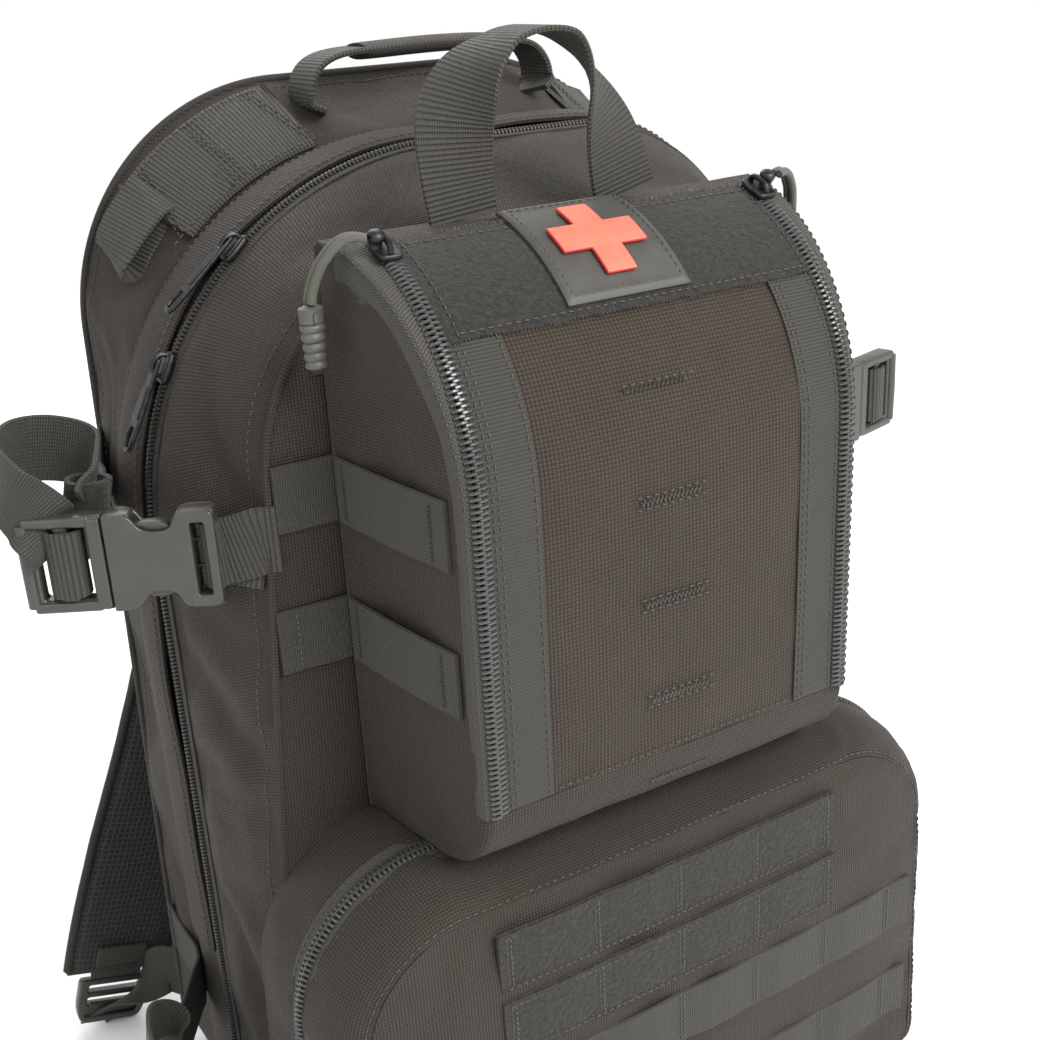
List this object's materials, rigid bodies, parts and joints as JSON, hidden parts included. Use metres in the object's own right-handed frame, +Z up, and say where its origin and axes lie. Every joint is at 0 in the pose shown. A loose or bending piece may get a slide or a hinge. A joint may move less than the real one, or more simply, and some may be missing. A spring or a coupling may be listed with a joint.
{
  "type": "trauma backpack",
  "caption": "Black clamshell backpack with a zipped medical pouch, lower pocket, attachment webbing, compression straps with side release buckles, padded straps and a red cross patch.",
  "frame": {"origin": "centre of the base that the pack stands on", "axes": "+X to the viewer's right when the pouch faces the viewer, -Y towards the front, +Z up"},
  "size_m": [0.4362, 0.2856, 0.4841],
  "materials": {
    "shell_fabric": "woven polyester, coated inside",
    "webbing": "ribbed webbing",
    "padded_mesh": "spacer mesh over foam",
    "loop_fabric": "fuzzy loop",
    "zipper_coil": "nylon coil on woven tape",
    "zipper_metal": "black nickel",
    "buckle_plastic": "fine moulded texture",
    "pull_cord": "braided",
    "cord_end_rubber": "ribbed",
    "frame_plastic": "smooth sheet",
    "patch_rubber": "moulded",
    "patch_red": "moulded"
  },
  "bodies": {
    "root": {"back_panel": "shell_fabric", "main_gusset": "shell_fabric", "main_bottom": "shell_fabric", "back_pads": "padded_mesh", "frame_sheet": "frame_plastic", "hydration_sleeve": "shell_fabric", "shoulder_strap_left": "padded_mesh", "shoulder_strap_right": "padded_mesh", "adjuster_webbing": "webbing", "shoulder_bands": "webbing", "storm_flap": "shell_fabric", "main_zipper_rear": "zipper_coil", "strap_runs_upper": "webbing", "strap_runs_lower": "webbing"},
    "top_handle": {"top_handle": "webbing"},
    "main_slider_upper": {"main_slider_upper": "zipper_metal"},
    "main_slider_lower": {"main_slider_lower": "zipper_metal"},
    "main_pull_upper": {"main_pull_upper": "zipper_metal"},
    "main_pull_lower": {"main_pull_lower": "zipper_metal"},
    "ladder_lock_left": {"ladder_lock_left": "buckle_plastic"},
    "ladder_lock_right": {"ladder_lock_right": "buckle_plastic"},
    "front_section": {"front_panel": "shell_fabric", "front_gusset": "shell_fabric", "front_bottom": "shell_fabric", "main_zipper_front": "zipper_coil", "upper_molle_webbing": "webbing", "compression_straps_front": "webbing", "buckle_sockets": "buckle_plastic", "pouch_back": "shell_fabric", "pouch_wall": "shell_fabric", "pouch_side_straps": "webbing", "pouch_zipper_wall": "zipper_coil", "pouch_organizer": "webbing", "lower_pocket_wall": "shell_fabric", "lower_zipper_wall": "zipper_coil"},
    "plug_upper_left": {"buckle_plug_upper_left": "buckle_plastic"},
    "plug_upper_right": {"buckle_plug_upper_right": "buckle_plastic"},
    "plug_lower_left": {"buckle_plug_lower_left": "buckle_plastic"},
    "plug_lower_right": {"buckle_plug_lower_right": "buckle_plastic"},
    "pouch_handle": {"pouch_handle": "webbing"},
    "pouch_slider_left": {"pouch_slider_left": "zipper_metal"},
    "pouch_slider_right": {"pouch_slider_right": "zipper_metal"},
    "pull_cord_left": {"pouch_pull_cord_left": "pull_cord", "pouch_cord_end_left": "cord_end_rubber"},
    "pull_cord_right": {"pouch_pull_cord_right": "pull_cord", "pouch_cord_end_right": "cord_end_rubber"},
    "pouch_panel": {"pouch_panel": "shell_fabric", "pouch_panel_tapes": "webbing", "pouch_zipper_panel": "zipper_coil", "pouch_loop_field": "loop_fabric"},
    "patch": {"patch_base": "patch_rubber", "patch_cross": "patch_red"},
    "lower_panel": {"lower_panel": "shell_fabric", "lower_zipper_panel": "zipper_coil", "lower_loop_strips": "loop_fabric", "lower_molle_webbing": "webbing"},
    "lower_slider": {"lower_slider": "zipper_metal"},
    "lower_pull": {"lower_pull": "zipper_metal"}
  },
  "joints": [
    {"name": "front_section_open", "type": "hinge", "parent": "root", "child": "front_section", "pos_m": [0, -0.015, 0], "axis": [1, 0, 0], "range_deg": [0, 40]},
    {"name": "top_handle_swing", "type": "hinge", "parent": "root", "child": "top_handle", "pos_m": [0.022, 0.043, 0.458], "axis": [1, 0, 0], "range_deg": [-22, 40]},
    {"name": "main_slider_upper_travel", "type": "hinge", "parent": "root", "child": "main_slider_upper", "pos_m": [-0.011, -0.016, 0.31], "axis": [0, 1, 0], "range_deg": [0, 38]},
    {"name": "main_slider_lower_travel", "type": "hinge", "parent": "root", "child": "main_slider_lower", "pos_m": [-0.011, -0.016, 0.31], "axis": [0, 1, 0], "range_deg": [-28, 0]},
    {"name": "main_pull_upper_swing", "type": "hinge", "parent": "main_slider_upper", "child": "main_pull_upper", "pos_m": [-0.09842, -0.016, 0.41418], "axis": [0, 1, 0], "range_deg": [0, 100]},
    {"name": "main_pull_lower_swing", "type": "hinge", "parent": "main_slider_lower", "child": "main_pull_lower", "pos_m": [-0.13108, -0.016, 0.37385], "axis": [0, 1, 0], "range_deg": [0, 100]},
    {"name": "ladder_lock_left_tilt", "type": "hinge", "parent": "root", "child": "ladder_lock_left", "pos_m": [-0.16603, 0.107, 0.02904], "axis": [0.9563, 0, -0.2924], "range_deg": [-15, 45]},
    {"name": "ladder_lock_right_tilt", "type": "hinge", "parent": "root", "child": "ladder_lock_right", "pos_m": [0.16603, 0.107, 0.02904], "axis": [0.9563, 0, 0.2924], "range_deg": [-15, 45]},
    {"name": "buckle_upper_left_release", "type": "slide", "parent": "front_section", "child": "plug_upper_left", "axis": [-0.866, 0.5, 0], "range_m": [0, 0.03]},
    {"name": "buckle_upper_right_release", "type": "slide", "parent": "front_section", "child": "plug_upper_right", "axis": [0.9703, 0.2419, 0], "range_m": [0, 0.03]},
    {"name": "buckle_lower_left_release", "type": "slide", "parent": "front_section", "child": "plug_lower_left", "axis": [-0.848, 0.5299, 0], "range_m": [0, 0.03]},
    {"name": "buckle_lower_right_release", "type": "slide", "parent": "front_section", "child": "plug_lower_right", "axis": [0.848, 0.5299, 0], "range_m": [0, 0.03]},
    {"name": "pouch_handle_swing", "type": "hinge", "parent": "front_section", "child": "pouch_handle", "pos_m": [-0.003, -0.0865, 0.426], "axis": [1, 0, 0], "range_deg": [-8, 68]},
    {"name": "pouch_slider_left_travel", "type": "hinge", "parent": "front_section", "child": "pouch_slider_left", "pos_m": [-0.081, -0.075, 0.343], "axis": [1, 0, 0], "range_deg": [0, 65]},
    {"name": "pouch_slider_right_travel", "type": "hinge", "parent": "front_section", "child": "pouch_slider_right", "pos_m": [0.081, -0.075, 0.343], "axis": [1, 0, 0], "range_deg": [0, 65]},
    {"name": "pull_cord_left_swing", "type": "hinge", "parent": "pouch_slider_left", "child": "pull_cord_left", "pos_m": [-0.085, -0.1066, 0.4255], "axis": [1, 0, 0], "range_deg": [-40, 5]},
    {"name": "pull_cord_right_swing", "type": "hinge", "parent": "pouch_slider_right", "child": "pull_cord_right", "pos_m": [0.085, -0.1066, 0.4255], "axis": [1, 0, 0], "range_deg": [-40, 5]},
    {"name": "pouch_panel_open", "type": "hinge", "parent": "front_section", "child": "pouch_panel", "pos_m": [0, -0.155, 0.232], "axis": [1, 0, 0], "range_deg": [0, 85]},
    {"name": "patch_peel", "type": "slide", "parent": "pouch_panel", "child": "patch", "axis": [0, -0.4924, 0.8704], "range_m": [0, 0.03]},
    {"name": "lower_panel_open", "type": "hinge", "parent": "front_section", "child": "lower_panel", "pos_m": [0, -0.118, 0.012], "axis": [1, 0, 0], "range_deg": [0, 75]},
    {"name": "lower_slider_travel", "type": "slide", "parent": "front_section", "child": "lower_slider", "axis": [0, 0, 1], "range_m": [0, 0.07]},
    {"name": "lower_pull_swing", "type": "hinge", "parent": "lower_slider", "child": "lower_pull", "pos_m": [0.1552, -0.118, 0.056], "axis": [0, -1, 0], "range_deg": [0, 100]}
  ]
}
